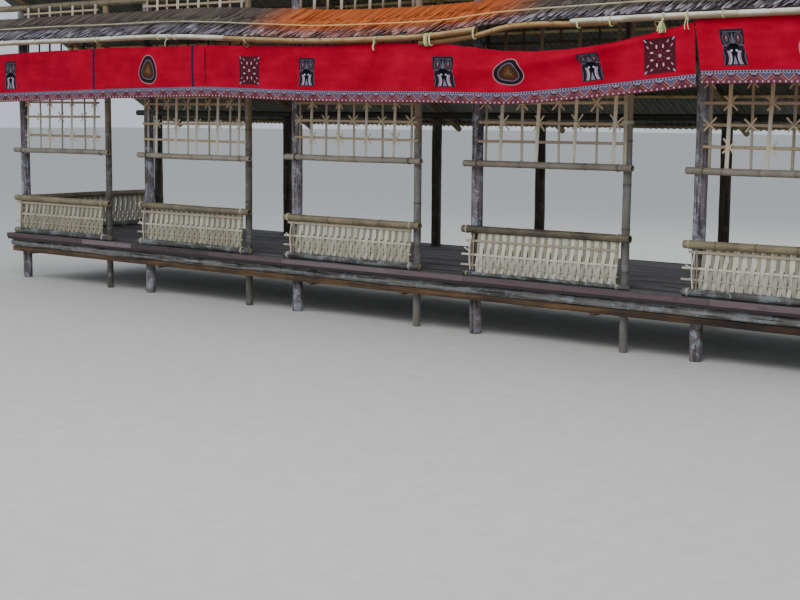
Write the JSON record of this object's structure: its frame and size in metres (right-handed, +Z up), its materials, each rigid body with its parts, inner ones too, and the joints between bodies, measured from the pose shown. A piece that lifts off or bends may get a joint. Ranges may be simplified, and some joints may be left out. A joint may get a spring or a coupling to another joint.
{
  "type": "raised bamboo pavilion",
  "caption": "Raised bamboo guest pavilion with woven railings, lattice panels, a cloth frieze under a thatched awning and a lean-to metal roof.",
  "frame": {"origin": "on the ground under the middle of the whole pavilion", "axes": "+X along the front to the right, +Y from the front to the back, +Z up"},
  "size_m": [12.74, 3.562, 3.7922],
  "materials": {
    "bark_log": "grey-brown bark with lichen, matt",
    "bamboo_culm": "weathered grey bamboo, low sheen",
    "dark_wood": "dark weathered wood, matt",
    "edge_bark": "grey bark with pale lichen, matt",
    "sawn_wood": "rough-sawn red-brown wood, matt",
    "deck_bamboo": "split bamboo slats, worn, matt",
    "woven_bamboo": "woven split bamboo, straw-coloured",
    "lattice_bamboo": "split bamboo bars, tan",
    "pale_bamboo": "pale cream bamboo, low sheen",
    "thatch": "dry palm-leaf strips, matt",
    "metal_sheet": "dull corrugated metal sheets",
    "red_cloth": "plain red cotton cloth with applied patterns"
  },
  "bodies": {
    "root": {"awning_frame": "pale_bamboo", "awning_thatch": "thatch", "back_plate": "pale_bamboo", "back_post_1": "dark_wood", "back_post_2": "dark_wood", "back_post_3": "dark_wood", "back_post_4": "dark_wood", "back_post_5": "dark_wood", "back_post_6": "dark_wood", "bamboo_post_1": "bamboo_culm", "bamboo_post_2": "bamboo_culm", "bamboo_post_3": "bamboo_culm", "bamboo_post_4": "bamboo_culm", "bamboo_post_5": "bamboo_culm", "cloth_frieze_1": "red_cloth", "cloth_frieze_2": "red_cloth", "cloth_frieze_3": "red_cloth", "cloth_frieze_4": "red_cloth", "cross_bearer_1": "bamboo_culm", "cross_bearer_2": "bamboo_culm", "cross_bearer_3": "bamboo_culm", "cross_bearer_4": "bamboo_culm", "cross_bearer_5": "bamboo_culm", "cross_bearer_6": "bamboo_culm", "deck": "deck_bamboo", "eave_pole": "pale_bamboo", "edge_log_back": "edge_bark", "edge_log_front": "edge_bark", "front_plate": "pale_bamboo", "front_railing_1": "woven_bamboo", "front_railing_2": "woven_bamboo", "front_railing_3": "woven_bamboo", "front_railing_4": "woven_bamboo", "front_railing_5": "woven_bamboo", "lattice_1": "lattice_bamboo", "lattice_2": "lattice_bamboo", "lattice_3": "lattice_bamboo", "lattice_4": "lattice_bamboo", "lattice_5": "lattice_bamboo", "left_railing": "woven_bamboo", "log_post_1": "bark_log", "log_post_2": "bark_log", "log_post_3": "bark_log", "log_post_4": "bark_log", "log_post_5": "bark_log", "middle_log": "bamboo_culm", "right_railing": "woven_bamboo", "roof_frame": "pale_bamboo", "roof_sheets": "metal_sheet", "thatch_batten": "pale_bamboo", "under_beam_back": "sawn_wood", "under_beam_front": "sawn_wood"}
  },
  "joints": []
}
